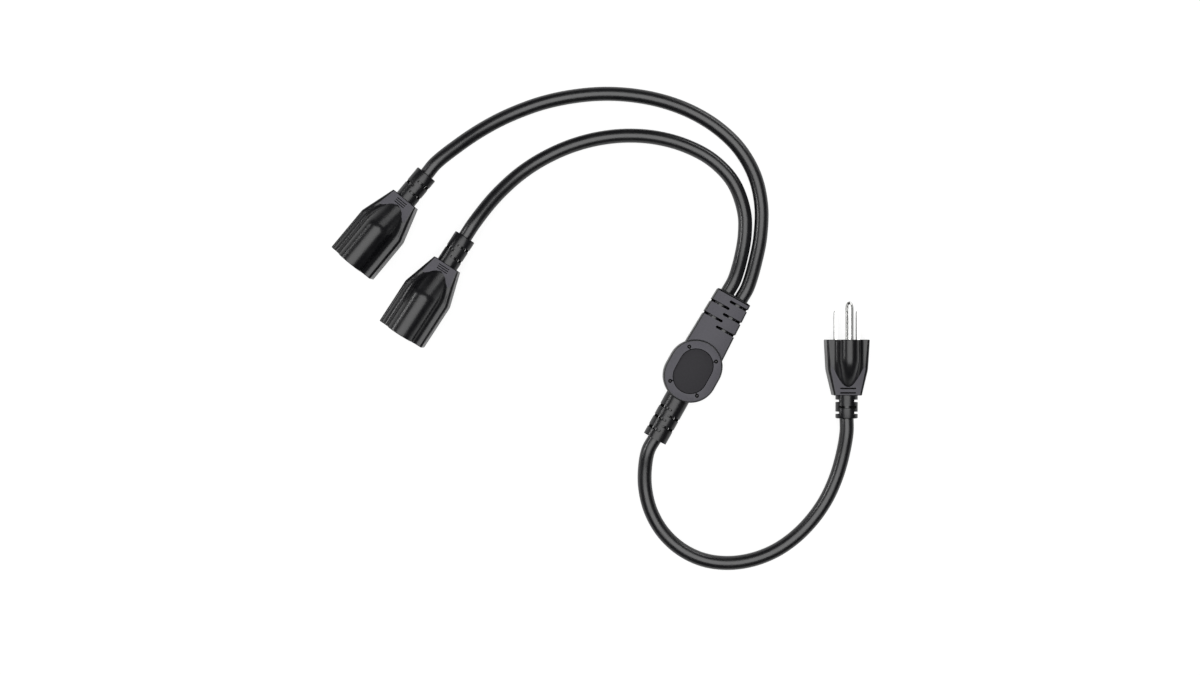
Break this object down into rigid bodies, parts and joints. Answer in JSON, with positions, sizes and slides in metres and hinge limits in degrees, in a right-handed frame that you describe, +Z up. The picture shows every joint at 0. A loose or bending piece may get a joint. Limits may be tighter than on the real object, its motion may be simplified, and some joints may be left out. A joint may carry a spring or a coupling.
{
  "type": "power cord splitter",
  "caption": "Black grounded power cord splitter: a plug on a round cord, a moulded hub, and receptacles on short branch cords.",
  "frame": {"origin": "middle of the rigid pieces' footprint on the table, at the table's surface", "axes": "+X from the receptacles towards the plug, +Y the way the plug's prongs point, +Z up from the table"},
  "size_m": [0.3028, 0.2752, 0.0366],
  "materials": {
    "moulding": "satin black vinyl with a fine grain",
    "jacket": "smooth black vinyl with a soft gloss",
    "carrier": "smooth hard plastic",
    "prong": "bright nickel plating",
    "contact": "plain stamped brass",
    "line_lead": "black wire insulation",
    "neutral_lead": "white wire insulation",
    "ground_lead": "green wire insulation"
  },
  "bodies": {
    "root": {"plug_body": "moulding", "hub_body": "moulding", "outer_receptacle_body": "moulding", "inner_receptacle_body": "moulding", "trunk_cord": "jacket", "outer_branch_cord": "jacket", "inner_branch_cord": "jacket", "plug_bridge": "carrier", "splice_tray": "carrier", "outer_receptacle_core": "carrier", "outer_receptacle_cap": "carrier", "inner_receptacle_core": "carrier", "inner_receptacle_cap": "carrier", "plug_line_blade": "prong", "plug_neutral_blade": "prong", "plug_ground_pin": "prong", "line_splice": "contact", "neutral_splice": "contact", "ground_splice": "contact", "outer_line_contact": "contact", "outer_neutral_contact": "contact", "outer_ground_contact": "contact", "inner_line_contact": "contact", "inner_neutral_contact": "contact", "inner_ground_contact": "contact", "plug_line_lead": "line_lead", "hub_trunk_line_lead": "line_lead", "hub_outer_line_lead": "line_lead", "hub_inner_line_lead": "line_lead", "outer_line_lead": "line_lead", "inner_line_lead": "line_lead", "plug_neutral_lead": "neutral_lead", "hub_trunk_neutral_lead": "neutral_lead", "hub_outer_neutral_lead": "neutral_lead", "hub_inner_neutral_lead": "neutral_lead", "outer_neutral_lead": "neutral_lead", "inner_neutral_lead": "neutral_lead", "plug_ground_lead": "ground_lead", "hub_trunk_ground_lead": "ground_lead", "hub_outer_ground_lead": "ground_lead", "hub_inner_ground_lead": "ground_lead", "outer_ground_lead": "ground_lead", "inner_ground_lead": "ground_lead"}
  },
  "joints": []
}
